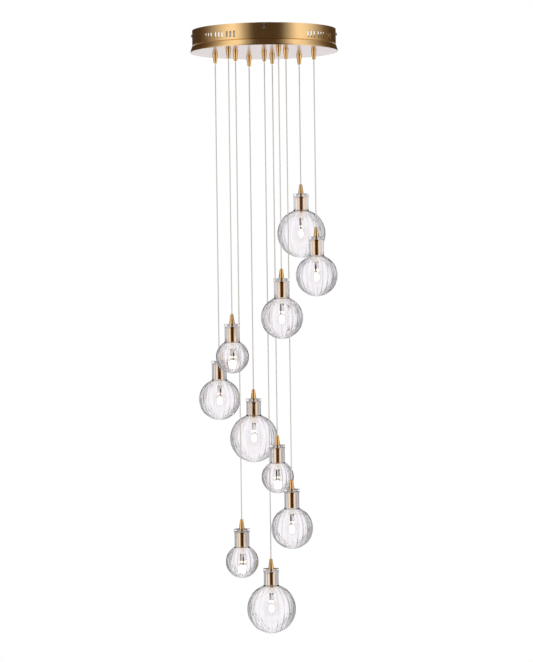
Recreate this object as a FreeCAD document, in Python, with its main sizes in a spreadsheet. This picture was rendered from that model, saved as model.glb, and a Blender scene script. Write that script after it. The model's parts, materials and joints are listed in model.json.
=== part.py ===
import FreeCAD, Part
import math
import os

import Sketcher

# Cluster pendant: a round canopy from which ten glass globes hang in a falling spiral.
# Frame: origin at the middle of the bracket's ceiling face, +Z up, the viewer stands at -Y.
# Lengths are millimetres, turns degrees.

SIZES = {
    # canopy shell: a drum with a flared lip, open to the ceiling
    "band_radius": 195,
    "lip_radius": 200,
    "canopy_height": 60,
    "lip_height": 15,
    "groove_depth": 1.2,
    "sheet": 1.5,
    "ledge_width": 9,
    "ceiling_gap": 0.5,
    # ventilation slots: four groups of three clusters of three
    "slot_width": 5,
    "slot_height": 18,
    "slot_drop": 29,
    "slot_step": 3.2,
    "cluster_step": 11.2,
    "first_slot_turn": 51.6,
    # polished face plate that closes the canopy below, on studs through the ledge
    "plate_thickness": 2,
    "plate_gap": 0.3,
    "stud_radius": 2,
    "stud_length": 6,
    "stud_inset": 4,
    "stud_count": 6,
    "stud_nut_radius": 4,
    "stud_nut_height": 3.2,
    # cross bracket on the ceiling
    "bracket_width": 40,
    "bracket_thickness": 2,
    "tab_height": 24,
    "tab_gap": 0.5,
    "ceiling_hole_radius": 2.6,
    "ceiling_hole_ring": 60,
    "cable_hole_radius": 10,
    # side screws that hold the shell on the bracket
    "screw_radius": 2,
    "screw_length": 9,
    "screw_head_radius": 4,
    "screw_head_height": 3,
    "screw_drop": 14,
    "notch_width": 5,
    "screw_gap": 0.05,
    # brass cones, the same on the canopy and on top of each pendant
    "cone_base_radius": 7.6,
    "cone_tip_radius": 4.2,
    "cone_length": 26,
    "cone_rounding": 1.2,
    "thread_radius": 5,
    "thread_bore": 3.5,
    "thread_gap": 0.1,
    "cone_thread_depth": 9,
    "thread_spare": 1,
    "nut_radius": 8.1,
    "nut_height": 4,
    "washer_radius": 10,
    "washer_height": 1,
    "grub_radius": 1.2,
    "grub_inset": 5,
    # cords
    "cord_radius": 1.5,
    "cord_gap": 0.2,
    "swing_gap": 0.3,
    # clear cap disc on the neck of each globe
    "cap_radius": 21.5,
    "cap_height": 8,
    "cap_rounding": 1.2,
    "spigot_depth": 5,
    "spigot_wall": 3,
    "spigot_gap": 0.2,
    # glass globes in three sizes; the rim is the neck's top above the globe's centre
    "neck_radius": 20.5,
    "neck_wall": 4,
    "neck_fillet": 3.5,
    "glass_wall": 2.5,
    "large_radius": 66.5,
    "medium_radius": 56.5,
    "small_radius": 44.5,
    "large_rim": 101.5,
    "medium_rim": 97,
    "small_rim": 80.5,
    # brass sleeve, stirrup and ceramic lampholder
    "sleeve_radius": 12,
    "sleeve_length": 43.5,
    "sleeve_wall": 1,
    "stirrup_width": 6,
    "stirrup_thickness": 1,
    "holder_radius": 10.4,
    "holder_length": 34,
    "holder_show": 15,
    "holder_rounding": 1.5,
    "pin_pitch": 9,
    "pin_radius": 0.7,
    "pin_length": 9,
    "pin_hole_radius": 1.6,
    "pin_hole_depth": 11,
    # capsule lamp
    "lamp_radius": 6.75,
    "lamp_length": 54,
    "pinch_length": 20,
    "pinch_width": 12,
    "pinch_thickness": 4.4,
    "lamp_gap": 0.3,
    # terminal strip under the bracket
    "strip_length": 84,
    "strip_width": 24,
    "strip_height": 14,
    "strip_place": 64,
    "port_radius": 1.8,
    "port_depth": 8,
    "port_pitch": 15,
    "port_row": 7,
    # internal leads from the cones to the terminal strip
    "lead_radius": 1.5,
    "lead_level": 46,
    "lead_step": 3.25,
    "lead_bend": 12,
    # rings of cords on the face plate
    "outer_ring": 138,
    "inner_ring": 81,
    "ring_turn": 14,
    "ring_step": 60,
    # how far each globe's centre hangs below the ceiling
    "drop_1": 550.5,
    "drop_2": 669,
    "drop_3": 782.5,
    "drop_4": 885,
    "drop_5": 1001.5,
    "drop_6": 1113,
    "drop_7": 1218,
    "drop_8": 1348.5,
    "drop_9": 1440,
    "drop_10": 1571,
}

# Pendant number: ring of its cord, steps round the ring, shift out of the ring, turn off the step, globe.
# The sixth and seventh stand a little apart, so that a large globe clears the neck beside it.
PENDANTS = {
    1: ("outer_ring", 5, 0, 0, "large"),
    2: ("outer_ring", 0, 0, 0, "medium"),
    3: ("outer_ring", 1, 0, 0, "medium"),
    4: ("outer_ring", 2, 0, 0, "small"),
    5: ("outer_ring", 3, 0, 0, "medium"),
    6: ("outer_ring", 4, 6, -1, "large"),
    7: ("inner_ring", 4.5, -2, 2, "small"),
    8: ("inner_ring", 0.5, 0, 0, "medium"),
    9: ("inner_ring", 2.5, 0, 0, "small"),
    10: (None, 0, 0, 0, "large"),
}

# Pendant number: column and row of its port in the terminal strip, and the level of its lead.
PORTS = {
    1: (2, 1, 6),
    2: (2, -1, 3),
    3: (1, -1, 5),
    4: (-2, -1, 1),
    5: (-2, 1, 2),
    6: (-1, 1, 4),
    7: (1, 1, 2),
    8: (0, -1, 1),
    9: (0, 1, 3),
    10: (-1, -1, 0),
}

doc = FreeCAD.newDocument("cluster_pendant")


class Size:
    """A length or turn as a number and as the sheet expression that it comes from."""

    def __init__(self, text, number):
        self.text = text
        self.number = float(number)

    def joined(self, other, sign, result):
        return Size(f"({self.text} {sign} {size(other).text})", result)

    def __add__(self, other):
        return self.joined(other, "+", self.number + size(other).number)

    def __sub__(self, other):
        return self.joined(other, "-", self.number - size(other).number)

    def __mul__(self, other):
        return self.joined(other, "*", self.number * size(other).number)

    def __truediv__(self, other):
        return self.joined(other, "/", self.number / size(other).number)

    def __neg__(self):
        return Size(f"(0 - {self.text})", -self.number)


def size(value):
    return value if isinstance(value, Size) else Size(repr(value), value)


def cosine(turn):
    return Size(f"cos({turn.text} * 1 deg)", math.cos(math.radians(turn.number)))


def sine(turn):
    return Size(f"sin({turn.text} * 1 deg)", math.sin(math.radians(turn.number)))


def root(value):
    return Size(f"sqrt({value.text})", math.sqrt(value.number))


def least(one, other):
    return Size(f"min({one.text}; {other.text})", min(one.number, other.number))


class Sheet:
    """The driving dimensions, read as sheet.name."""

    def __init__(self, sizes):
        self.cells = doc.addObject("Spreadsheet::Sheet", "Sizes")
        for row, (name, number) in enumerate(sizes.items(), start=1):
            self.cells.set(f"A{row}", name)
            self.cells.set(f"B{row}", str(number))
            self.cells.setAlias(f"B{row}", name)
        doc.recompute()

    def __getattr__(self, name):
        return Size(f"Sizes.{name}", getattr(self.cells, name))


s = Sheet(SIZES)


def bind(item, **properties):
    """Ties properties to the sheet; Radius1=s.neck_radius and the like."""
    for name, value in properties.items():
        item.setExpression(name, size(value).text)
    return item


def place(item, x=0, y=0, z=0, turn=0, about=(0, 0, 1)):
    """Puts an item at x, y, z, turned about an axis; each of them follows the sheet."""
    turn = size(turn)
    item.Placement.Rotation = FreeCAD.Rotation(FreeCAD.Vector(*about), turn.number)
    for axis, value in zip("xyz", (x, y, z)):
        if isinstance(value, Size):
            item.setExpression(f"Placement.Base.{axis}", value.text)
        else:
            setattr(item.Placement.Base, axis, value)
    if "Sizes" in turn.text:
        item.setExpression("Placement.Rotation.Angle", turn.text)
    return item


def cylinder(name, radius, height, x=0, y=0, z=0, turn=0, about=(0, 1, 0)):
    """A round bar that starts at x, y, z and runs along its own axis, +Z where it isn't turned."""
    item = bind(doc.addObject("Part::Cylinder", name), Radius=radius, Height=height)
    return place(item, x, y, z, turn, about)


def box(name, length, width, height, x, y, z, turn=0):
    """A block from its lowest corner."""
    item = bind(doc.addObject("Part::Box", name), Length=length, Width=width, Height=height)
    return place(item, x, y, z, turn)


def ball(name, radius, z):
    return place(bind(doc.addObject("Part::Sphere", name), Radius=radius), z=z)


def joined(name, items):
    fusion = doc.addObject("Part::MultiFuse", name)
    fusion.Shapes = items
    return fusion


def cut(name, base, tools):
    """Takes tools out of base in one step."""
    result = doc.addObject("Part::Cut", name)
    result.Base = base
    result.Tool = group(name + "_tools", tools)
    return result


def group(name, items):
    """Separate solids kept side by side."""
    compound = doc.addObject("Part::Compound", name)
    compound.Links = items
    return compound


def copy_at(name, item, x=0, y=0, z=0, turn=0, about=(0, 0, 1)):
    return place(group(name, [item]), x, y, z, turn, about)


def plane(body, role):
    return next(f for f in body.Origin.OriginFeatures if f.Role == role)


def sketch_on(body, name, role):
    sketch = body.newObject("Sketcher::SketchObject", name)
    sketch.AttachmentSupport = [(plane(body, role), "")]
    sketch.MapMode = "FlatFace"
    return sketch


def hold(sketch, index, point, x, y):
    """Holds a point of a sketch at two sheet sizes, or on an axis."""
    for kind, axis, value in (("DistanceX", -2, x), ("DistanceY", -1, y)):
        if value.number == 0:
            sketch.addConstraint(Sketcher.Constraint("PointOnObject", index, point, axis))
        else:
            which = sketch.addConstraint(Sketcher.Constraint(kind, -1, 1, index, point, value.number))
            sketch.setExpression(f"Constraints[{which}]", value.text)


def outline(body, name, points, role="XZ_Plane"):
    """A closed sketch of straight edges through its corners."""
    sketch = sketch_on(body, name, role)
    corners = [(size(x), size(y)) for x, y in points]
    vectors = [FreeCAD.Vector(x.number, y.number, 0) for x, y in corners]
    count = len(vectors)
    for i in range(count):
        sketch.addGeometry(Part.LineSegment(vectors[i], vectors[(i + 1) % count]), False)
    for i in range(count):
        sketch.addConstraint(Sketcher.Constraint("Coincident", i, 2, (i + 1) % count, 1))
    for i, (x, y) in enumerate(corners):
        hold(sketch, i, 1, x, y)
    return sketch


def circles(body, name, rows, role="XY_Plane"):
    """A sketch of circles, each given as x, y and radius."""
    sketch = sketch_on(body, name, role)
    for i, row in enumerate(rows):
        x, y, radius = (size(value) for value in row)
        centre = FreeCAD.Vector(x.number, y.number, 0)
        sketch.addGeometry(Part.Circle(centre, FreeCAD.Vector(0, 0, 1), radius.number), False)
        hold(sketch, i, 3, x, y)
        which = sketch.addConstraint(Sketcher.Constraint("Radius", i, radius.number))
        sketch.setExpression(f"Constraints[{which}]", radius.text)
    return sketch


def turned(name, points):
    """A turned body: an outline of radius and height, revolved about the vertical axis."""
    body = doc.addObject("PartDesign::Body", name)
    sketch = outline(body, name + "_outline", points)
    revolve = body.newObject("PartDesign::Revolution", name + "_turning")
    revolve.Profile = sketch
    revolve.ReferenceAxis = (sketch, ["V_Axis"])
    revolve.Angle = 360
    body.Tip = revolve
    return body


def padded(body, name, sketch, length):
    """Raises a sketch along its normal."""
    pad = body.newObject("PartDesign::Pad", name)
    pad.Profile = sketch
    bind(pad, Length=length)
    body.Tip = pad
    return pad


def hexagon_nut(name, bore):
    """A hexagonal nut that stands on z = 0."""
    block = bind(doc.addObject("Part::Prism", name + "_block"), Circumradius=s.nut_radius, Height=s.nut_height)
    block.Polygon = 6
    return cut(name, block, [cylinder(name + "_hole", bore, s.nut_height)])


# Places shared by several pieces
band_inside = s.band_radius - s.sheet
lip_inside = s.lip_radius - s.sheet
lip_top = -(s.canopy_height - s.lip_height)
canopy_bottom = -s.canopy_height
plate_top = canopy_bottom + s.plate_thickness
ledge_top = plate_top + s.sheet
ledge_outside = least(band_inside, lip_inside - s.sheet * 2)
stud_ring = ledge_outside - s.stud_inset
cone_tip = canopy_bottom - s.cone_length
pivot_height = cone_tip - s.swing_gap - s.cord_radius
cord_bore = s.cord_radius + s.cord_gap
thread_hole = s.thread_radius + s.thread_gap
neck_bore = s.neck_radius - s.neck_wall
holder_bottom = -(s.sleeve_length + s.holder_show)
RIMS = {"large": s.large_rim, "medium": s.medium_rim, "small": s.small_rim}
RADII = {"large": s.large_radius, "medium": s.medium_radius, "small": s.small_radius}
nodes = {}


def node(name, item):
    """Makes an item one of the object's sub-parts."""
    item.Label = name
    nodes[name] = item
    return item


def cord_place(number):
    """Where a pendant's cord leaves the face plate."""
    ring, steps, shift, turn, _ = PENDANTS[number]
    if ring is None:
        return size(0), size(0)
    radius = getattr(s, ring) + shift
    angle = s.ring_turn + s.ring_step * steps + turn
    return radius * cosine(angle), -(radius * sine(angle))


def rim_height(number):
    """Height of the neck's rim, on which the cap disc sits."""
    return RIMS[PENDANTS[number][4]] - getattr(s, f"drop_{number}")


def ceiling_bracket():
    """Cross of strip steel with turned-down tabs; the middle hole passes the supply cable."""
    half = s.bracket_width / 2
    tab_face = root(band_inside * band_inside - half * half) - s.tab_gap
    arms, tools = [], []
    for number in range(4):
        turn = number * 90
        arm = box(f"arm_{number}", tab_face, s.bracket_width, s.bracket_thickness, 0, -half, -s.bracket_thickness)
        tab = box(
            f"tab_{number}",
            s.bracket_thickness,
            s.bracket_width,
            s.tab_height,
            tab_face - s.bracket_thickness,
            -half,
            -s.tab_height,
        )
        arms.append(copy_at(f"bent_arm_{number}", joined(f"arm_and_tab_{number}", [arm, tab]), turn=turn))
        screw_hole = cylinder(
            f"tab_hole_{number}",
            s.screw_radius + s.screw_gap,
            s.bracket_thickness * 3,
            tab_face - s.bracket_thickness * 2,
            0,
            -s.screw_drop,
            turn=90,
        )
        tools.append(copy_at(f"tab_hole_copy_{number}", screw_hole, turn=turn))
        ceiling_hole = cylinder(
            f"ceiling_hole_{number}",
            s.ceiling_hole_radius,
            s.bracket_thickness,
            s.ceiling_hole_ring,
            0,
            -s.bracket_thickness,
        )
        tools.append(copy_at(f"ceiling_hole_copy_{number}", ceiling_hole, turn=turn))
    tools.append(cylinder("cable_hole", s.cable_hole_radius, s.bracket_thickness, z=-s.bracket_thickness))
    node("ceiling_bracket", cut("bracket", joined("bracket_cross", arms), tools))


def canopy_shell():
    """Spun drum with a flared lip and an inner ledge, slotted for ventilation and notched for the screws."""
    drum = turned(
        "drum",
        [
            (s.band_radius, -s.ceiling_gap),
            (s.band_radius, lip_top + s.sheet * 2),
            (s.band_radius - s.groove_depth, lip_top + s.sheet),
            (s.band_radius + s.groove_depth, lip_top),
            (s.lip_radius, canopy_bottom + s.sheet * 2),
            (s.lip_radius, canopy_bottom),
            (lip_inside, canopy_bottom),
            (lip_inside, plate_top),
            (ledge_outside - s.ledge_width, plate_top),
            (ledge_outside - s.ledge_width, ledge_top),
            (lip_inside - s.sheet * 2, ledge_top),
            (band_inside - s.groove_depth, lip_top),
            (band_inside - s.groove_depth, lip_top + s.sheet),
            (band_inside, lip_top + s.sheet * 2),
            (band_inside, -s.ceiling_gap),
        ],
    )
    reach = s.sheet * 6
    slot = box(
        "slot_tool",
        reach,
        s.slot_width,
        s.slot_height,
        band_inside - s.sheet * 2,
        -(s.slot_width / 2),
        -(s.slot_drop + s.slot_height / 2),
    )
    tools = []
    for side in range(4):
        for cluster in (-1, 0, 1):
            for step in (-1, 0, 1):
                turn = s.first_slot_turn + s.cluster_step * cluster + s.slot_step * step + side * 90
                tools.append(copy_at(f"slot_{len(tools)}", slot, turn=turn))
    notch_low = -(s.screw_drop + s.screw_radius + s.screw_gap)
    notch = box(
        "notch_tool",
        reach,
        s.notch_width,
        -notch_low,
        band_inside - s.sheet * 2,
        -(s.notch_width / 2),
        notch_low,
    )
    for side in range(4):
        tools.append(copy_at(f"notch_{side}", notch, turn=side * 90))
    stud_hole = cylinder("stud_hole", s.stud_radius + s.thread_gap, s.sheet * 3, stud_ring, 0, plate_top - s.sheet)
    count = int(s.stud_count.number)
    for number in range(count):
        tools.append(copy_at(f"stud_hole_{number}", stud_hole, turn=size(360) / s.stud_count * (number + 0.5)))
    node("canopy_shell", cut("shell", drum, tools))


def side_screws():
    """Four screws through the band's notches into the bracket's tabs."""
    head_face = s.band_radius + s.screw_gap
    shank = cylinder("shank", s.screw_radius, s.screw_length, head_face - s.screw_length, 0, -s.screw_drop, turn=90)
    head = cylinder("head", s.screw_head_radius, s.screw_head_height, head_face, 0, -s.screw_drop, turn=90)
    screw = joined("side_screw", [shank, head])
    node("side_screws", group("screws", [copy_at(f"screw_{i}", screw, turn=i * 90) for i in range(4)]))


def face_plate():
    """Polished disc with a hole for each cone's nipple, and the studs that carry it on the shell's ledge."""
    body = doc.addObject("PartDesign::Body", "plate")
    holes = [(*cord_place(number), thread_hole) for number in PENDANTS]
    sketch = circles(body, "plate_outline", [(0, 0, lip_inside - s.plate_gap), *holes])
    bind(sketch, **{"AttachmentOffset.Base.z": canopy_bottom})
    padded(body, "plate_pad", sketch, s.plate_thickness)
    node("face_plate", body)
    stud = cylinder("stud", s.stud_radius, s.stud_length, z=plate_top)
    nut_block = cylinder("stud_nut_block", s.stud_nut_radius, s.stud_nut_height, z=ledge_top)
    nut_hole = cylinder("stud_nut_hole", s.stud_radius, s.stud_nut_height, z=ledge_top)
    nut = cut("stud_nut", nut_block, [nut_hole])
    pair = place(group("stud_pair", [stud, nut]), x=stud_ring)
    copies = []
    for number in range(int(s.stud_count.number)):
        copies.append(copy_at(f"stud_{number}", pair, turn=size(360) / s.stud_count * (number + 0.5)))
    node("plate_studs", group("studs", copies))


def cone():
    """Turned brass cone that stands on z = 0: threaded below, bored for the cord, drilled for its grub screw."""
    slope = (s.cone_base_radius - s.cone_tip_radius) / (s.cone_length - s.cone_rounding)
    blank = turned(
        "cone_blank",
        [
            (s.thread_radius, 0),
            (s.cone_base_radius, 0),
            (s.cone_tip_radius, s.cone_length - s.cone_rounding),
            (s.cone_tip_radius - s.cone_rounding, s.cone_length),
            (cord_bore, s.cone_length),
            (cord_bore, s.cone_thread_depth),
            (s.thread_radius, s.cone_thread_depth),
        ],
    )
    height = s.cone_length - s.grub_inset
    surface = s.cone_tip_radius + slope * (s.grub_inset - s.cone_rounding)
    hole = cylinder("grub_hole", s.grub_radius + s.screw_gap, s.cone_base_radius, 0, 0, height, turn=90)
    grub = cylinder("grub", s.grub_radius, surface - s.cord_radius - s.cord_gap, cord_bore, 0, height, turn=90)
    return cut("cone", blank, [hole]), grub


def nipple(name, low, high):
    """Threaded tube between two heights."""
    outside = s.thread_radius - s.thread_gap / 2
    return turned(name, [(s.thread_bore, low), (outside, low), (outside, high), (s.thread_bore, high)])


def canopy_cones(cone_piece, grub):
    """Ten cones under the face plate, each on a nipple with a washer and a nut above the plate."""
    nut = hexagon_nut("nut", s.thread_radius)
    washer = turned(
        "washer",
        [
            (s.thread_radius, 0),
            (s.washer_radius, 0),
            (s.washer_radius, s.washer_height),
            (s.thread_radius, s.washer_height),
        ],
    )
    above = s.washer_height + s.nut_height
    low = canopy_bottom - s.cone_thread_depth + s.thread_spare
    tube = nipple("canopy_nipple", low, plate_top + above + s.thread_spare)
    cones, fasteners, grubs = [], [], []
    for number in PENDANTS:
        x, y = cord_place(number)
        across = (1, 0, 0)
        cones.append(copy_at(f"canopy_cone_{number}", cone_piece, x, y, canopy_bottom, 180, across))
        grubs.append(copy_at(f"canopy_grub_{number}", grub, x, y, canopy_bottom, 180, across))
        fasteners.append(copy_at(f"tube_{number}", tube, x, y))
        fasteners.append(copy_at(f"washer_{number}", washer, x, y, plate_top))
        fasteners.append(copy_at(f"nut_{number}", nut, x, y, plate_top + s.washer_height))
    node("canopy_cones", group("cones", cones))
    node("cone_fasteners", group("fasteners", fasteners))
    node("cone_grub_screws", group("grubs", grubs))
    return nut


def terminal_strip():
    """Moulded strip with ten ports in its underside, fixed under one arm of the bracket."""
    top = -s.bracket_thickness
    block = box(
        "strip_block",
        s.strip_length,
        s.strip_width,
        s.strip_height,
        -(s.strip_place + s.strip_length / 2),
        -(s.strip_width / 2),
        top - s.strip_height,
    )
    ports = []
    for number in PORTS:
        x, y = port_place(number)
        ports.append(cylinder(f"port_{number}", s.port_radius, s.port_depth, x, y, top - s.strip_height))
    node("terminal_strip", cut("strip", block, ports))


def port_place(number):
    column, row, _ = PORTS[number]
    return s.port_pitch * column - s.strip_place, s.port_row * row


def tube_along(points, radius, bend):
    """A round tube along straight runs joined by tangent arcs of one radius."""
    edges = []
    start = points[0]
    for before, corner, after in zip(points, points[1:], points[2:]):
        into = (corner - before).normalize()
        out = (after - corner).normalize()
        turn = into.getAngle(out)
        back = bend * math.tan(turn / 2)
        first, last = corner - into * back, corner + out * back
        inward = (out - into).normalize()
        middle = corner + inward * (bend / math.cos(turn / 2) - bend)
        edges.append(Part.LineSegment(start, first).toShape())
        edges.append(Part.Arc(first, middle, last).toShape())
        start = last
    edges.append(Part.LineSegment(start, points[-1]).toShape())
    wire = Part.Wire(edges)
    circle = Part.Wire([Part.Circle(points[0], points[1] - points[0], radius).toShape()])
    tube = wire.makePipeShell([circle], True, False)
    expected = math.pi * radius**2 * wire.Length
    if abs(tube.Volume - expected) > 0.01 * expected:
        raise RuntimeError("a lead's tube has the wrong volume")
    return tube


def internal_leads():
    """A lead from each cone up into the canopy, across at its own level and up into its port."""
    tubes = []
    strip_bottom = -(s.bracket_thickness + s.strip_height).number
    for number in PENDANTS:
        level = -s.lead_level.number + s.lead_step.number * PORTS[number][2]
        x, y = (value.number for value in cord_place(number))
        port_x, port_y = (value.number for value in port_place(number))
        route = [
            FreeCAD.Vector(x, y, cone_tip.number + s.swing_gap.number),
            FreeCAD.Vector(x, y, level),
            FreeCAD.Vector(port_x, port_y, level),
            FreeCAD.Vector(port_x, port_y, strip_bottom + s.port_depth.number - s.swing_gap.number),
        ]
        tubes.append(tube_along(route, s.lead_radius.number, s.lead_bend.number))
    print("lead bend radius", s.lead_bend.number)
    leads = doc.addObject("Part::Feature", "leads")
    leads.Shape = Part.makeCompound(tubes)
    node("internal_leads", leads)


def globe(name):
    """Blown globe with a plain neck; its rim is at z = 0."""
    radius, rim = RADII[name], RIMS[name]
    body = doc.addObject("PartDesign::Body", f"{name}_glass")
    for kind, label, ball_radius, neck in (
        ("Additive", "outside", radius, s.neck_radius),
        ("Subtractive", "inside", radius - s.glass_wall, neck_bore),
    ):
        sphere = body.newObject(f"PartDesign::{kind}Sphere", f"{name}_{label}_ball")
        place(bind(sphere, Radius=ball_radius), z=-rim)
        tube = body.newObject(f"PartDesign::{kind}Cylinder", f"{name}_{label}_neck")
        place(bind(tube, Radius=neck, Height=rim), z=-rim)
        body.Tip = tube
        doc.recompute()
        if kind == "Additive":
            meeting = root(radius * radius - neck * neck) - rim
            names = [f"Edge{i}" for i, edge in enumerate(tube.Shape.Edges, start=1) if ring_edge(edge, neck, meeting)]
            fillet = body.newObject("PartDesign::Fillet", f"{name}_shoulder")
            fillet.Base = (tube, names)
            bind(fillet, Radius=s.neck_fillet)
            body.Tip = fillet
            doc.recompute()
    return body


def ring_edge(edge, radius, height):
    """Is this edge the circle of a radius at a height?"""
    if not edge.Closed or len(edge.Vertexes) != 1:
        return False
    bounds = edge.BoundBox
    return abs(bounds.XLength / 2 - radius.number) < 0.01 and abs(bounds.ZMax - height.number) < 0.01


def cap_disc():
    """Thick clear disc that closes the neck, with a spigot that sits inside it."""
    outer = neck_bore - s.spigot_gap
    inner = outer - s.spigot_wall
    return turned(
        "cap_disc",
        [
            (thread_hole, 0),
            (inner, 0),
            (inner, -s.spigot_depth),
            (outer, -s.spigot_depth),
            (outer, 0),
            (s.cap_radius, 0),
            (s.cap_radius, s.cap_height - s.cap_rounding),
            (s.cap_radius - s.cap_rounding, s.cap_height),
            (thread_hole, s.cap_height),
        ],
    )


def sleeve():
    """Polished brass cup that hides the lampholder, hung under the cap disc."""
    inside = s.sleeve_radius - s.sleeve_wall
    return turned(
        "sleeve",
        [
            (thread_hole, 0),
            (s.sleeve_radius, 0),
            (s.sleeve_radius, -s.sleeve_length),
            (inside, -s.sleeve_length),
            (inside, -s.sleeve_wall),
            (thread_hole, -s.sleeve_wall),
        ],
    )


def stirrup():
    """Bent strip between the locknut and the lampholder."""
    top = -s.sleeve_wall
    foot = holder_bottom + s.holder_length
    reach = s.holder_radius - s.stirrup_thickness
    half = s.stirrup_width / 2
    under = top - s.stirrup_thickness
    bar = box("stirrup_bar", reach * 2, s.stirrup_width * 2, s.stirrup_thickness, -reach, -s.stirrup_width, under)
    leg_sizes = (s.stirrup_thickness, s.stirrup_width, top - foot)
    left = box("stirrup_left", *leg_sizes, -reach, -half, foot)
    right = box("stirrup_right", *leg_sizes, reach - s.stirrup_thickness, -half, foot)
    hole = cylinder("stirrup_hole", thread_hole, s.stirrup_thickness * 3, z=top - s.stirrup_thickness * 2)
    return cut("stirrup", joined("stirrup_strip", [bar, left, right]), [hole])


def lampholder():
    """Ceramic holder that stands out of the sleeve, with two pin holes."""
    top = holder_bottom + s.holder_length
    blank = turned(
        "holder_blank",
        [
            (0, holder_bottom),
            (s.holder_radius - s.holder_rounding, holder_bottom),
            (s.holder_radius, holder_bottom + s.holder_rounding),
            (s.holder_radius, top),
            (0, top),
        ],
    )
    holes = []
    for side in (-1, 1):
        x = s.pin_pitch / 2 * side
        holes.append(cylinder(f"pin_hole_{side + 1}", s.pin_hole_radius, s.pin_hole_depth, x, 0, holder_bottom))
    return cut("holder", blank, holes)


def lamp():
    """Capsule lamp: two pins, a flat pinch and a round-ended bulb."""
    top = holder_bottom - s.lamp_gap
    bottom = top - s.lamp_length
    bulb_low = bottom + s.lamp_radius
    pinch = box(
        "pinch",
        s.pinch_width,
        s.pinch_thickness,
        s.pinch_length + s.lamp_radius,
        -(s.pinch_width / 2),
        -(s.pinch_thickness / 2),
        top - s.pinch_length - s.lamp_radius,
    )
    bulb = cylinder("bulb", s.lamp_radius, top - s.pinch_length - bulb_low, z=bulb_low)
    glass = joined("lamp_glass", [pinch, bulb, ball("bulb_end", s.lamp_radius, bulb_low)])
    pins = []
    for side in (-1, 1):
        pins.append(cylinder(f"pin_{side + 1}", s.pin_radius, s.pin_length, s.pin_pitch / 2 * side, 0, top))
    return group("lamp", [glass, *pins])


def cord(number, rim, low):
    """A straight cord under load; its round top turns against the canopy cone."""
    x, y = cord_place(number)
    line = cylinder(f"cord_line_{number}", s.cord_radius, pivot_height - (rim + low), x, y, rim + low)
    top = place(bind(doc.addObject("Part::Sphere", f"cord_top_{number}"), Radius=s.cord_radius), x, y, pivot_height)
    return joined(f"cord_solid_{number}", [line, top])


def pendants(cone_piece, grub, nut):
    """Ten pendants: each a cord, brass fittings, a globe with its cap disc, a lampholder and a lamp."""
    glass = {name: globe(name) for name in RADII}
    cap, cup, strap, holder, capsule = cap_disc(), sleeve(), stirrup(), lampholder(), lamp()
    under = -(s.sleeve_wall + s.stirrup_thickness + s.nut_height)
    thread_top = s.cap_height + s.cone_thread_depth
    tube = nipple("head_nipple", under - s.thread_spare, thread_top - s.thread_spare)
    fittings = [
        copy_at("head_cone", cone_piece, z=s.cap_height),
        copy_at("head_grub", grub, z=s.cap_height),
        tube,
        cup,
        strap,
        copy_at("head_nut", nut, z=under),
    ]
    for number in PENDANTS:
        x, y = cord_place(number)
        rim = rim_height(number)
        node(f"cord_{number}", cord(number, rim, thread_top + s.thread_spare))
        pieces = {
            "fittings": fittings,
            "shade": [glass[PENDANTS[number][4]], cap],
            "lampholder": [holder],
            "lamp": [capsule],
        }
        for kind, items in pieces.items():
            node(f"{kind}_{number}", place(group(f"{kind}_group_{number}", items), x, y, rim))


def check():
    """Stops if any object failed or any sub-part isn't whole."""
    for item in doc.Objects:
        if "Invalid" in item.State or "Error" in item.State:
            raise RuntimeError(f"{item.Name} failed: {item.State}")
    for name, item in nodes.items():
        if item.Shape.isNull() or not item.Shape.isValid() or not item.Shape.Solids:
            raise RuntimeError(f"{name} has no sound shape")


def main():
    ceiling_bracket()
    canopy_shell()
    side_screws()
    face_plate()
    cone_piece, grub = cone()
    nut = canopy_cones(cone_piece, grub)
    terminal_strip()
    internal_leads()
    pendants(cone_piece, grub, nut)
    doc.recompute()
    check()
    os.makedirs("parts", exist_ok=True)
    for name, item in nodes.items():
        item.Shape.exportStep(f"parts/{name}.step")
    print(len(nodes), "sub-parts,", sum(len(item.Shape.Solids) for item in nodes.values()), "solids")


main()
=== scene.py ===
"""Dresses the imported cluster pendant: ribbed glass globes on clear cords below a round brass canopy.

The frame gives every place in metres: +Z is up and the viewer stands at -Y.
"""

import json
import math

import bmesh
import bpy
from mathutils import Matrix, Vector


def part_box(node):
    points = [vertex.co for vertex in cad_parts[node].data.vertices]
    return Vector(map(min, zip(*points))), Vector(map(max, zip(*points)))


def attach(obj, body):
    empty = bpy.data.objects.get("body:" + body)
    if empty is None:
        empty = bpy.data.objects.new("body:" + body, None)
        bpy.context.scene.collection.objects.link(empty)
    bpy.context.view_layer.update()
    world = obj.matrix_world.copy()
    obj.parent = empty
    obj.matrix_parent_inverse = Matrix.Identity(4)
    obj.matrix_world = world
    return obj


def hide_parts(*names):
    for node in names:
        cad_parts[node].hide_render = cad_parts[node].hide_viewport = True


bl_info = {
    "name": "Cluster pendant looks",
    "version": (1, 0, 0),
    "blender": (4, 5, 0),
    "location": "View3D > Sidebar > Pendant",
    "description": "Builds glass, cords, lamps, finishes and studio for the cluster pendant",
    "category": "Object",
}

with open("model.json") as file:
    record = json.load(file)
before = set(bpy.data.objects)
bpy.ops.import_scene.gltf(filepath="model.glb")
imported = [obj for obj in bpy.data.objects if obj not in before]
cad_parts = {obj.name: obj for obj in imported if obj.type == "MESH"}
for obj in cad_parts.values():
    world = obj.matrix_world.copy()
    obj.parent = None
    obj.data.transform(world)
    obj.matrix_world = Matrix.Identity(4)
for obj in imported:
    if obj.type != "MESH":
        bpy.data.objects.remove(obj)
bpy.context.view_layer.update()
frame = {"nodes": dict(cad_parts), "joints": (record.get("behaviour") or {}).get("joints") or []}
NUMBERS = range(1, 11)
JOINTS = {joint["name"]: joint for joint in frame["joints"]}
CAP_HEIGHT = 0.008
CORD_RADIUS = 0.0015

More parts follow.
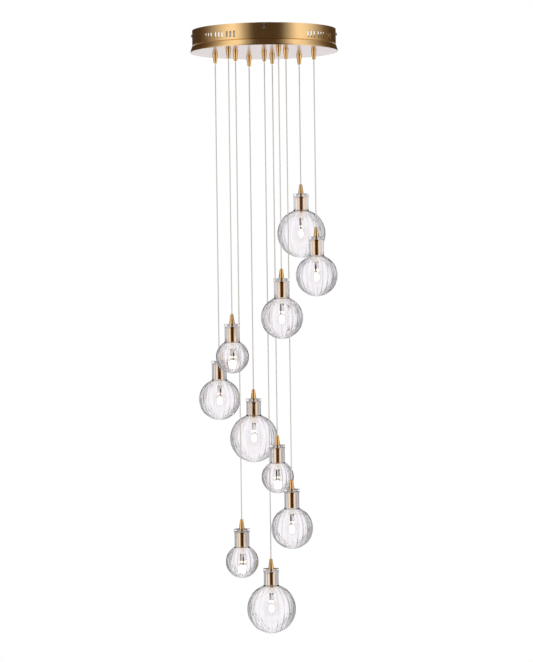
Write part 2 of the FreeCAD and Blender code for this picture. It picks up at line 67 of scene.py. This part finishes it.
# Internal leads: steps up from the lowest one at which each runs, and its port's column and row in the terminal strip
LEAD_LEVELS = {1: 6, 2: 3, 3: 5, 4: 1, 5: 2, 6: 4, 7: 2, 8: 1, 9: 3, 10: 0}
LEAD_PORTS = {
    1: (2, 1),
    2: (2, -1),
    3: (1, -1),
    4: (-2, -1),
    5: (-2, 1),
    6: (-1, 1),
    7: (1, 1),
    8: (0, -1),
    9: (0, 1),
    10: (-1, -1),
}
LEAD_LOWEST = -0.046
LEAD_STEP = 0.00325
LEAD_END = 0.0021  # above the pendant's pivot
PORT_PITCH = 0.015
PORT_ROW = 0.007  # from the strip's middle line
PORT_HEIGHT = 0.0077  # above the strip's underside


def linear(colour):
    """A colour given as sRGB hex becomes linear red, green, blue."""
    channels = [int(colour[i : i + 2], 16) / 255 for i in (1, 3, 5)]
    return tuple(c / 12.92 if c <= 0.04045 else ((c + 0.055) / 1.055) ** 2.4 for c in channels)


def pivot(number):
    return Vector(JOINTS[f"pendant_{number}_swing"]["pos_m"])


def rim(number):
    """Top of the neck of a pendant's globe, under its cap disc."""
    place = pivot(number)
    place.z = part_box(f"shade_{number}")[1].z - CAP_HEIGHT
    return place


def globe_radius(number):
    low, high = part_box(f"shade_{number}")
    return round((high.x - low.x) / 2, 4)


def globe_drop(number):
    """How far a globe's middle lies below its rim."""
    low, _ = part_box(f"shade_{number}")
    return rim(number).z - low.z - globe_radius(number)


# ---------------------------------------------------------------- materials


def node(tree, kind, inputs=None, **settings):
    """Adds a node; an input that is a socket is linked, and any other is its value."""
    made = tree.nodes.new(kind)
    for name, value in settings.items():
        setattr(made, name, value)
    for socket, value in (inputs or {}).items():
        if isinstance(value, bpy.types.NodeSocket):
            tree.links.new(value, made.inputs[socket])
        else:
            made.inputs[socket].default_value = value
    return made


def ramp(tree, factor, stops):
    """Colours along a factor, each stop as place and linear colour or grey."""
    made = node(tree, "ShaderNodeValToRGB", {"Fac": factor})
    band = made.color_ramp
    while len(band.elements) < len(stops):
        band.elements.new(1)
    for element, (place, colour) in zip(band.elements, stops):
        element.position = place
        element.color = (*colour, 1) if isinstance(colour, tuple) else (colour, colour, colour, 1)
    return made.outputs["Color"]


def maths(tree, operation, *values):
    made = node(tree, "ShaderNodeMath", dict(enumerate(values)), operation=operation)
    return made.outputs["Value"]


def mixed(tree, factor, low, high):
    """The colour low where the factor is 0, and high where it is 1."""
    made = node(tree, "ShaderNodeMixRGB", {"Fac": factor, "Color1": low, "Color2": high})
    return made.outputs["Color"]


def progress(tree, value, start, end):
    """Rises from 0 to 1 while a value goes from start to end."""
    made = node(tree, "ShaderNodeMapRange", {"Value": value, "From Min": start, "From Max": end})
    return made.outputs["Result"]


def new_material(name):
    material = bpy.data.materials.new(name)
    material.use_nodes = True
    tree = material.node_tree
    return material, tree, tree.nodes["Principled BSDF"]


def grain(tree, scale, stretch=(1, 1, 1), detail=4):
    """Noise in object space; scale is per metre and stretch multiplies it along each axis."""
    place = node(tree, "ShaderNodeTexCoord").outputs["Object"]
    mapped = node(tree, "ShaderNodeMapping", {"Vector": place, "Scale": stretch})
    noise = node(tree, "ShaderNodeTexNoise", {"Vector": mapped.outputs["Vector"], "Scale": scale, "Detail": detail})
    return noise.outputs["Fac"]


def spread(tree, factor, low, high):
    made = node(tree, "ShaderNodeMapRange", {"Value": factor, "To Min": low, "To Max": high})
    return made.outputs["Result"]


def metal(name, colour, roughness, scale, stretch=(1, 1, 1), depth=0.00002, vary=0.12):
    """Bare metal: brushed grain varies its colour and roughness, and stands slightly proud."""
    material, tree, shader = new_material(name)
    fine = grain(tree, scale, stretch)
    cloud = grain(tree, 14)
    low = tuple(c * (1 - vary) for c in colour)
    high = tuple(min(1, c * (1 + vary)) for c in colour)
    tree.links.new(ramp(tree, cloud, [(0.3, low), (0.7, high)]), shader.inputs["Base Color"])
    tree.links.new(spread(tree, fine, roughness * 0.75, roughness * 1.25), shader.inputs["Roughness"])
    bump = node(tree, "ShaderNodeBump", {"Height": fine, "Strength": 1, "Distance": depth})
    tree.links.new(bump.outputs["Normal"], shader.inputs["Normal"])
    shader.inputs["Metallic"].default_value = 1
    return material


def glass(name, colour, roughness, ripple, scale=60):
    """Clear glass whose faint ripple comes from blowing or moulding."""
    material, tree, shader = new_material(name)
    wave = grain(tree, scale, detail=2)
    paler = tuple(min(1, c * 1.02) for c in colour)
    tree.links.new(ramp(tree, wave, [(0.35, tuple(colour)), (0.65, paler)]), shader.inputs["Base Color"])
    bump = node(tree, "ShaderNodeBump", {"Height": wave, "Strength": 1, "Distance": ripple})
    tree.links.new(bump.outputs["Normal"], shader.inputs["Normal"])
    shader.inputs["Roughness"].default_value = roughness
    shader.inputs["IOR"].default_value = 1.48
    shader.inputs["Transmission Weight"].default_value = 1
    return material


def plastic(name, colour, roughness, scale, coat=0.0, vary=0.06, stretch=(1, 1, 1), depth=0.00001):
    """Moulded plastic or glazed ceramic with a fine uneven skin."""
    material, tree, shader = new_material(name)
    skin = grain(tree, scale, stretch)
    low = tuple(c * (1 - vary) for c in colour)
    tree.links.new(ramp(tree, skin, [(0.3, low), (0.7, tuple(colour))]), shader.inputs["Base Color"])
    tree.links.new(spread(tree, skin, roughness * 0.8, roughness * 1.2), shader.inputs["Roughness"])
    bump = node(tree, "ShaderNodeBump", {"Height": skin, "Strength": 1, "Distance": depth})
    tree.links.new(bump.outputs["Normal"], shader.inputs["Normal"])
    shader.inputs["Coat Weight"].default_value = coat
    return material


def glow(name, colour, strength):
    """The lit core of a lamp, its colour varied a little by noise."""
    material, tree, shader = new_material(name)
    cloud = grain(tree, 300, detail=1)
    warm = ramp(tree, cloud, [(0.3, tuple(c * 0.92 for c in colour)), (0.7, tuple(colour))])
    tree.links.new(warm, shader.inputs["Emission Color"])
    tree.links.new(warm, shader.inputs["Base Color"])
    shader.inputs["Emission Strength"].default_value = strength
    return material


def dress(name, *materials, pick=None):
    """Gives a CAD node its materials; pick chooses one by the middle of each face."""
    item = frame["nodes"][name]
    item.data.materials.clear()
    for material in materials:
        item.data.materials.append(material)
    for face in item.data.polygons:
        face.material_index = pick(face.center) if pick else 0
    return item


# ---------------------------------------------------------------- meshes


def new_object(name, data, place=(0, 0, 0)):
    item = bpy.data.objects.new(name, data)
    item.location = place
    bpy.context.scene.collection.objects.link(item)
    return item


def lathe(mesh, profile, steps, shape=None, material=0):
    """Turns a profile of radius and height about Z into a bmesh; shape may move each point."""
    rings = []
    for index, (radius, height) in enumerate(profile):
        if radius < 1e-7:
            rings.append([mesh.verts.new((0, 0, height))])
            continue
        ring = []
        for step in range(steps):
            turn = 2 * math.pi * step / steps
            point = Vector((radius * math.cos(turn), radius * math.sin(turn), height))
            ring.append(mesh.verts.new(shape(point, turn, index) if shape else point))
        rings.append(ring)
    for lower, upper in zip(rings, rings[1:]):
        for step in range(steps):
            after = (step + 1) % steps
            if len(lower) == 1 and len(upper) == 1:
                break
            if len(lower) == 1:
                corners = (lower[0], upper[after], upper[step])
            elif len(upper) == 1:
                corners = (lower[step], lower[after], upper[0])
            else:
                corners = (lower[step], lower[after], upper[after], upper[step])
            face = mesh.faces.new(corners)
            face.material_index = material
            face.smooth = True
    return rings


def finished(mesh, name, materials, sharp=40):
    """Turns a bmesh into mesh data with outward faces; edges over the sharp angle stay crisp."""
    bmesh.ops.recalc_face_normals(mesh, faces=mesh.faces)
    for edge in mesh.edges:
        edge.smooth = edge.calc_face_angle(0) < math.radians(sharp)
    data = bpy.data.meshes.new(name)
    mesh.to_mesh(data)
    mesh.free()
    for material in materials:
        data.materials.append(material)
    return data


def arc(centre_r, centre_z, radius, start, end, count):
    """Points of an arc in a lathe profile, by angles in degrees from straight out."""
    points = []
    for i in range(count + 1):
        turn = math.radians(start + (end - start) * i / count)
        points.append((centre_r + radius * math.cos(turn), centre_z + radius * math.sin(turn)))
    return points


def globe_mesh(name, radius, drop, material, look):
    """A blown globe: ribs run from the base to the neck, and the wall is open at the neck only."""
    neck, bore, wall, fillet = 0.0205, 0.0165, 0.0025, 0.0035
    soft, lip_top, hold = 0.0006, -0.0002, -0.001
    fade_level, fade_width, valley_power, inner_share = 0.42, 0.016, 2.2, 0.3
    inside = radius - wall
    reach = radius + fillet
    joint = math.degrees(math.acos((neck + fillet) / reach))
    fillet_z = -drop + math.sqrt(reach**2 - (neck + fillet) ** 2)
    outer = arc(0, -drop, radius, -90, joint, 60)
    outer[0] = (0, -drop - radius)
    shoulder = arc(neck + fillet, fillet_z, fillet, 180 + joint, 180, 8)
    top = [(neck, z) for z in (fillet_z * 0.75, fillet_z * 0.5, fillet_z * 0.25, hold, -soft)]
    lip = [(neck - soft, lip_top), (bore + soft, lip_top), (bore, -soft), (bore, hold)]
    start = math.degrees(math.acos(bore / inside))
    inner = arc(0, -drop, inside, start, -90, 44)
    inner[-1] = (0, -drop - inside)
    profile = outer + shoulder[1:] + top + lip + inner
    inner_from = len(profile) - len(inner)
    depth = look.rib_depth

    def ribbed(point, turn, index):
        height = (point.z + drop) / radius
        if index > len(outer) + 2 and index < inner_from:
            return point
        level = math.sqrt(max(0.0, 1 - height * height))
        fade = min(1, level / fade_level) ** 1.5
        if height > 0:
            fade *= min(1, max(0, (level * radius - neck) / fade_width))
        valley = (1 - abs(math.sin(turn * look.rib_count / 2))) ** valley_power
        move = depth * fade * (valley if index < inner_from else inner_share * valley)
        away = Vector((point.x, point.y, 0)).normalized()
        return point - away * move

    mesh = bmesh.new()
    lathe(mesh, profile, look.rib_count * 16, ribbed)
    return finished(mesh, name, [material], 60)


def cap_mesh(material):
    """Clear disc with softened edges, a spigot below and a hole for the threaded tube."""
    mesh = bmesh.new()
    out, top, soft, hole = 0.0215, CAP_HEIGHT, 0.0012, 0.0051
    spigot_in, spigot_out, spigot_depth, chamfer = 0.0133, 0.0163, 0.005, 0.0005
    profile = [(hole, 0), (spigot_in, 0), (spigot_in, -spigot_depth), (spigot_out, -spigot_depth), (spigot_out, 0)]
    profile += [(out - chamfer, 0), (out, chamfer)]
    profile += arc(out - soft, top - soft, soft, 0, 90, 5) + [(hole, top), (hole, 0)]
    lathe(mesh, profile, 96)
    bmesh.ops.remove_doubles(mesh, verts=mesh.verts, dist=1e-6)
    return finished(mesh, "cap_disc", [material], 30)


def tube(mesh, points, radius, steps, material):
    """A round bar through points that all lie in one upright plane."""
    rings = []
    for index, point in enumerate(points):
        before, after = points[max(0, index - 1)], points[min(len(points) - 1, index + 1)]
        along = (after - before).normalized()
        side = Vector((0, 1, 0))
        across = along.cross(side)
        ring = []
        for step in range(steps):
            turn = 2 * math.pi * step / steps
            ring.append(mesh.verts.new(point + (across * math.cos(turn) + side * math.sin(turn)) * radius))
        rings.append(ring)
    for lower, upper in zip(rings, rings[1:]):
        for step in range(steps):
            after = (step + 1) % steps
            face = mesh.faces.new((lower[step], lower[after], upper[after], upper[step]))
            face.smooth = True
            face.material_index = material
    for ring in (rings[0], list(reversed(rings[-1]))):
        mesh.faces.new(ring).material_index = material


def lamp_mesh(materials):
    """Capsule lamp with its top at z = 0: quartz bulb and pinch, foils, pins, leads and lit core."""
    quartz, pin, foil, lit = range(4)
    mesh = bmesh.new()
    radius, length = 0.00675, 0.054
    profile = [(0, -length)] + arc(0, radius - length, radius, -90, 0, 10)[1:]
    profile += [(radius, -z) for z in (0.040, 0.034, 0.029, 0.0265, 0.0235, 0.0215, 0.020, 0.006, 0.0012)]
    profile += [(radius * 0.93, -0.0004), (radius * 0.85, 0), (0, 0)]
    pinch_half_width, pinch_half_depth, pinch_start, pinch_blend, squareness = 0.006, 0.0022, 0.0265, 0.0065, 0.35

    def pressed(point, turn, index):
        share = min(1, max(0, (point.z + pinch_start) / pinch_blend))
        share = share * share * (3 - 2 * share)
        scale = math.hypot(point.x, point.y) / radius
        across = math.copysign(abs(math.cos(turn)) ** squareness, math.cos(turn))
        through = math.copysign(abs(math.sin(turn)) ** squareness, math.sin(turn))
        flat = Vector((pinch_half_width * across * scale, pinch_half_depth * through * scale, point.z))
        return point.lerp(flat, share)

    lathe(mesh, profile, 48, pressed, quartz)
    pin_offset, pin_radius, lead_radius = 0.0045, 0.0007, 0.0004
    foil_size, foil_height = Vector((0.001, 0.0003, 0.017)), -0.0105
    for side in (-1, 1):
        x = pin_offset * side
        tube(mesh, [Vector((x, 0, z)) for z in (0.009, 0.0086, -0.004)], pin_radius, 12, pin)
        corners = bmesh.ops.create_cube(mesh, size=1)["verts"]
        for corner in corners:
            corner.co = corner.co * foil_size + Vector((x * 0.9, 0, foil_height))
        for face in {f for corner in corners for f in corner.link_faces}:
            face.material_index = foil
        legs = [(x * 0.9, -0.018), (x * 0.88, -0.023), (x * 0.7, -0.0285)]
        tube(mesh, [Vector((a, 0, b)) for a, b in legs], lead_radius, 8, foil)
    core = [(0, -0.0515)] + arc(0, -0.047, 0.0045, -90, 0, 8)[1:]
    core += [(0.0046, -0.041), (0.0043, -0.036)] + arc(0, -0.0345, 0.004, 20, 90, 6)[:-1] + [(0, -0.0305)]
    lathe(mesh, core, 32, None, lit)
    return finished(mesh, "capsule_lamp", materials, 50)


def cord_curve(name, points, radius, material):
    """A cord on one smooth line through its control points."""
    data = bpy.data.curves.new(name, "CURVE")
    data.dimensions = "3D"
    spline = data.splines.new("NURBS")
    spline.points.add(len(points) - 1)
    for slot, point in zip(spline.points, points):
        slot.co = (*point, 1)
    spline.order_u = 3
    spline.use_endpoint_u = True
    spline.resolution_u = 16
    data.bevel_depth = radius
    data.bevel_resolution = 4
    data.use_fill_caps = True
    data.materials.append(material)
    return new_object(name, data)


# ---------------------------------------------------------------- settings


def colour_setting(name, description, default):
    return bpy.props.FloatVectorProperty(
        name=name, description=description, default=linear(default), subtype="COLOR", min=0, max=1
    )


class PendantLook(bpy.types.PropertyGroup):
    """Sizes and colours of the pieces."""

    rib_count: bpy.props.IntProperty(name="Ribs", description="Ribs round each globe", default=24, min=8)
    rib_depth: bpy.props.FloatProperty(
        name="Rib depth", description="Depth of the valleys between ribs", default=0.0008, unit="LENGTH"
    )
    glass: colour_setting("Glass", "Tint of the globes", "#fbf9fb")
    cap: colour_setting("Cap disc", "Tint of the cap discs", "#f4f2f2")
    band: colour_setting("Canopy band", "Brushed antique brass", "#d6b27e")
    plate: colour_setting("Face plate", "Polished plate below the canopy", "#c4b2b2")
    cone: colour_setting("Cones", "Satin brass", "#e8bd80")
    sleeve: colour_setting("Sleeves", "Polished brass", "#f7dfbd")
    cord: colour_setting("Cords", "Clear cord over braided wire", "#dcd6d1")
    steel: colour_setting("Steel", "Bracket, screws and nuts", "#c4c5c8")
    ceramic: colour_setting("Ceramic", "Lampholders", "#efeae0")
    # Painted lamplight: the lampholders' glaze glows by emission in its own colour, standing in for light from the
    # lamps falling on them.
    painted_lamplight_glow: bpy.props.FloatProperty(
        name="Painted ceramic glow", description="Lamplight on the lampholders", default=0.45, min=0
    )
    lit: colour_setting("Lamp", "Lit core of the lamps", "#fff1d6")
    lit_strength: bpy.props.FloatProperty(name="Lamp strength", description="Brightness of the lit core", default=3)


class PendantStudio(bpy.types.PropertyGroup):
    """Camera, floor and light."""

    distance: bpy.props.FloatProperty(
        name="Camera distance", description="From the canopy's axis", default=7.5, unit="LENGTH"
    )
    view_height: bpy.props.FloatProperty(
        name="View height", description="Height that the picture shows at the axis", default=1.797, unit="LENGTH"
    )
    camera_height: bpy.props.FloatProperty(
        name="Camera height", description="Against the ceiling", default=-0.817, unit="LENGTH"
    )
    camera_side: bpy.props.FloatProperty(
        name="Camera side", description="Right of the axis", default=-0.0038, unit="LENGTH"
    )
    roll: bpy.props.FloatProperty(name="Roll", description="Tilt of the picture", default=0.0134, unit="ROTATION")
    floor: bpy.props.FloatProperty(name="Floor", description="Radius of the floor", default=1.4, unit="LENGTH")
    floor_height: bpy.props.FloatProperty(
        name="Floor height", description="Against the ceiling", default=-2.4, unit="LENGTH"
    )
    floor_colour: colour_setting("Floor colour", "Plain pale floor", "#f2f2f2")


class BuildPiece:
    """Shared by the operators: each builds when executed."""

    bl_options = {"REGISTER", "UNDO"}

    def execute(self, context):
        self.build(context.scene.pendant_look)
        return {"FINISHED"}


class PENDANT_OT_canopy(BuildPiece, bpy.types.Operator):
    """Finish the canopy shell, face plate, bracket, screws and cones"""

    bl_idname = "pendant.canopy"
    bl_label = "Canopy"

    def build(self, look):
        steel = metal("brushed steel", look.steel, 0.32, 900, (1, 1, 6))
        brass = metal("satin brass cone", look.cone, 0.3, 700, (1, 1, 8))
        dress("canopy_shell", metal("brushed antique brass", look.band, 0.2, 40, (1, 1, 60), 0.00003, 0.08))
        dress("face_plate", metal("satin polished plate", look.plate, 0.2, 30, depth=0.000004, vary=0.03))
        for name in ("ceiling_bracket", "plate_studs", "side_screws", "cone_fasteners", "cone_grub_screws"):
            dress(name, steel)
        dress("canopy_cones", brass)
        dress("terminal_strip", plastic("white moulded plastic", linear("#e8e6e0"), 0.5, 500))


class PENDANT_OT_leads(BuildPiece, bpy.types.Operator):
    """Lay the internal leads from the cones to the terminal strip"""

    bl_idname = "pendant.leads"
    bl_label = "Internal leads"

    def build(self, look):
        clear = plastic("clear lead insulation", look.cord, 0.25, 900, coat=0.6)
        strip_low, strip_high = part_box("terminal_strip")
        middle = (strip_low + strip_high) / 2
        for number in NUMBERS:
            start = pivot(number)
            start.z += LEAD_END
            column, row = LEAD_PORTS[number]
            level = LEAD_LOWEST + LEAD_STEP * LEAD_LEVELS[number]
            port = middle + Vector((PORT_PITCH * column, PORT_ROW * row, 0))
            port.z = strip_low.z + PORT_HEIGHT
            first, last = Vector((start.x, start.y, level)), Vector((port.x, port.y, level))
            run = (last - first).length
            along = (last - first) / run
            drop, rise = level - start.z, port.z - level
            points = [start, first]
            if drop < run / 2:
                points.append(first + along * drop)
            if rise < run / 2:
                points.append(last - along * rise)
            points += [last, port]
            lead = cord_curve(f"lead_{number}", points, CORD_RADIUS, clear)
            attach(lead, "canopy")
            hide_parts("internal_leads")


class PENDANT_OT_cords(BuildPiece, bpy.types.Operator):
    """Hang the cords from the canopy's cones down to the pendants"""

    bl_idname = "pendant.cords"
    bl_label = "Cords"

    def build(self, look):
        clear = plastic("clear cord over braid", look.cord, 0.22, 1400, 0.7, 0.25, (1, 1, 0.5), 0.00003)
        for number in NUMBERS:
            top = pivot(number)
            low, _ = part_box(f"cord_{number}")
            end = Vector((top.x, top.y, low.z))
            points = [top + (end - top) * share for share in (0, 0.02, 0.5, 0.98, 1)]
            cord = cord_curve(f"hanging_cord_{number}", points, CORD_RADIUS, clear)
            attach(cord, f"pendant_{number}")
            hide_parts(f"cord_{number}")


class PENDANT_OT_fittings(BuildPiece, bpy.types.Operator):
    """Finish the brass cones, sleeves and ceramic lampholders of the pendants"""

    bl_idname = "pendant.fittings"
    bl_label = "Fittings"

    def build(self, look):
        cone = metal("satin brass", look.cone, 0.3, 700, (1, 1, 8))
        sleeve = metal("polished brass", look.sleeve, 0.09, 500, (1, 1, 6), 0.00001, 0.06)
        steel = metal("zinc plated steel", look.steel, 0.3, 800)
        ceramic = plastic("glazed ceramic", look.ceramic, 0.2, 300, coat=0.8)
        # Painted lamplight: the glaze emits its own colour so the lampholders look lit by their lamps, though they
        # are no lamps.
        painted_lamplight_shader = ceramic.node_tree.nodes["Principled BSDF"]
        painted_lamplight_shader.inputs["Emission Color"].default_value = (*look.ceramic, 1)
        painted_lamplight_shader.inputs["Emission Strength"].default_value = look.painted_lamplight_glow
        in_cone, in_sleeve, in_steel = range(3)
        tube_reach, cone_bore_top, sleeve_reach, sleeve_top = 0.0052, 0.020, 0.0109, -0.0011
        for number in NUMBERS:
            top = rim(number)

            def piece(middle, top=top):
                height = middle.z - top.z
                reach = math.hypot(middle.x - top.x, middle.y - top.y)
                if height > CAP_HEIGHT - 0.0005:
                    return in_cone if reach > tube_reach or height > cone_bore_top else in_steel
                return in_sleeve if reach > sleeve_reach or height > sleeve_top else in_steel

            dress(f"fittings_{number}", cone, sleeve, steel, pick=piece)
            dress(f"lampholder_{number}", ceramic)


class PENDANT_OT_globes(BuildPiece, bpy.types.Operator):
    """Blow the ribbed globes and set the clear cap discs on their necks"""

    bl_idname = "pendant.globes"
    bl_label = "Globes"

    def build(self, look):
        blown = glass("clear blown glass", look.glass, 0.0, 0.000008)
        cast = glass("clear cast acrylic", look.cap, 0.0, 0.00001)
        cap = cap_mesh(cast)
        sizes = {}
        for number in NUMBERS:
            radius = globe_radius(number)
            if radius not in sizes:
                name = f"globe_{round(radius * 2000)}"
                sizes[radius] = globe_mesh(name, radius, globe_drop(number), blown, look)
            globe = new_object(f"ribbed_globe_{number}", sizes[radius], rim(number))
            disc = new_object(f"cap_disc_{number}", cap, rim(number))
            for item in (globe, disc):
                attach(item, f"pendant_{number}")
            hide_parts(f"shade_{number}")


class PENDANT_OT_lamps(BuildPiece, bpy.types.Operator):
    """Put a lit capsule lamp in each lampholder"""

    bl_idname = "pendant.lamps"
    bl_label = "Lamps"

    pin_height = 0.009  # pins above the quartz

    def build(self, look):
        quartz = glass("clear quartz", linear("#fbfaf7"), 0.0, 0.00001, 200)
        pins = metal("nickel pin", linear("#b9b7b2"), 0.25, 900)
        foil = metal("dark foil", linear("#7d6a58"), 0.4, 900)
        lit = glow("lit core", look.lit, look.lit_strength)
        data = lamp_mesh([quartz, pins, foil, lit])
        for number in NUMBERS:
            place = rim(number)
            place.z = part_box(f"lamp_{number}")[1].z - self.pin_height
            lamp = new_object(f"capsule_lamp_{number}", data, place)
            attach(lamp, f"capsule_{number}")
            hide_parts(f"lamp_{number}")


class PENDANT_OT_stage(bpy.types.Operator):
    """Set the camera, the pale floor and the plain studio light"""

    bl_idname = "pendant.stage"
    bl_label = "Stage"
    bl_options = {"REGISTER", "UNDO"}

    light_turn = -0.075  # of all bands of light about the vertical

    def execute(self, context):
        studio = context.scene.pendant_studio
        data = bpy.data.cameras.new("camera")
        data.sensor_width = 36
        data.lens = 36 * studio.distance / studio.view_height
        data.clip_end = 50
        camera = new_object("camera", data, (studio.camera_side, -studio.distance, studio.camera_height))
        camera.rotation_euler = (math.pi / 2, studio.roll, 0)
        context.scene.camera = camera
        mesh = bmesh.new()
        bmesh.ops.create_circle(mesh, cap_ends=True, radius=studio.floor, segments=96)
        pale = plastic("pale floor", studio.floor_colour, 0.8, 6, vary=0.02)
        floor = new_object("floor", finished(mesh, "floor", [pale]), (0, 0, studio.floor_height))
        self.light(context.scene)
        context.scene.view_settings.view_transform = "Standard"
        return {"FINISHED"}

    def light(self, scene):
        """White behind, bright at both sides and dark towards the viewer, for metal and glass to show."""
        world = bpy.data.worlds.new("studio")
        scene.world = world
        world.use_nodes = True
        tree = world.node_tree
        tree.nodes.clear()
        toward = node(tree, "ShaderNodeTexCoord").outputs["Generated"]
        x, y, z = node(tree, "ShaderNodeSeparateXYZ", {"Vector": toward}).outputs
        turn = maths(tree, "ARCTAN2", x, maths(tree, "MULTIPLY", y, -1))
        aside = maths(tree, "ABSOLUTE", maths(tree, "ADD", turn, self.light_turn))
        share = maths(tree, "DIVIDE", aside, math.pi)
        high = progress(tree, z, -0.02, 0.02)

        def rounded(below, above):
            """Bands round the horizon, each by its share of the way from the viewer to straight behind."""
            low, top = ramp(tree, share, below), ramp(tree, share, above)
            return mixed(tree, high, low, top)

        warm, amber, brown = (0.07, 0.042, 0.02), (0.2, 0.14, 0.09), (0.06, 0.022, 0.005)
        on_metal = rounded(
            [(0.13, warm), (0.20, 0.9), (0.27, 1.5), (0.42, 1.3), (0.58, 0.5), (0.64, 0.25), (0.80, 0.5), (0.86, 1)],
            [(0.13, warm), (0.20, 0.6), (0.28, 1.5), (0.40, 1.25), (0.50, 0.6), (0.60, amber), (0.72, warm)],
        )
        mirrored = rounded(
            *(
                [(0.17, brown), (0.30, 1.1), (0.50, 1.0), (0.60, side), (0.94, back), (0.98, 0.95)]
                for side, back in ((0.5, 0.3), (0.85, 0.7))
            )
        )
        direct = rounded(
            *(
                [(0.04, 1), (0.07, dim), (0.16, dim), (0.20, 1.1), (0.80, 1.1), (0.84, dim), (0.93, dim), (0.96, 1)]
                for dim in (0.36, 0.6)
            )
        )
        path = node(tree, "ShaderNodeLightPath").outputs
        plain, white = (0.95, 0.95, 0.95, 1), (1, 1, 1, 1)
        upright = maths(tree, "ABSOLUTE", z)
        in_glass = mixed(tree, maths(tree, "GREATER_THAN", path["Glossy Depth"], 0.5), direct, mirrored)
        through = mixed(tree, progress(tree, upright, 0.35, 0.75), in_glass, plain)
        glossy = mixed(tree, progress(tree, upright, 0.8, 0.98), on_metal, plain)
        colour = mixed(tree, path["Is Glossy Ray"], plain, glossy)
        colour = mixed(tree, path["Is Transmission Ray"], colour, through)
        colour = mixed(tree, maths(tree, "GREATER_THAN", path["Diffuse Depth"], 0.5), colour, plain)
        colour = mixed(tree, path["Is Camera Ray"], colour, white)
        shade = node(tree, "ShaderNodeBackground", {"Color": colour, "Strength": 1})
        node(tree, "ShaderNodeOutputWorld", {"Surface": shade.outputs[0]})


class PENDANT_PT_panel(bpy.types.Panel):
    """Lists the pieces and the stage"""

    bl_idname = "PENDANT_PT_panel"
    bl_label = "Cluster pendant"
    bl_space_type = "VIEW_3D"
    bl_region_type = "UI"
    bl_category = "Pendant"

    def draw(self, context):
        for group in (context.scene.pendant_look, context.scene.pendant_studio):
            for name in group.__annotations__:
                self.layout.prop(group, name)
        for operator in OPERATORS:
            self.layout.operator(operator.bl_idname)


OPERATORS = (
    PENDANT_OT_stage,
    PENDANT_OT_cords,
    PENDANT_OT_leads,
    PENDANT_OT_canopy,
    PENDANT_OT_fittings,
    PENDANT_OT_globes,
    PENDANT_OT_lamps,
)
CLASSES = (PendantLook, PendantStudio, *OPERATORS, PENDANT_PT_panel)


def register():
    for item in CLASSES:
        bpy.utils.register_class(item)
    bpy.types.Scene.pendant_look = bpy.props.PointerProperty(type=PendantLook)
    bpy.types.Scene.pendant_studio = bpy.props.PointerProperty(type=PendantStudio)


def unregister():
    del bpy.types.Scene.pendant_look
    del bpy.types.Scene.pendant_studio
    for item in reversed(CLASSES):
        bpy.utils.unregister_class(item)


def main():
    register()
    for operator in OPERATORS:
        group, name = operator.bl_idname.split(".")
        getattr(getattr(bpy.ops, group), name)()


if __name__ == "__main__":
    main()
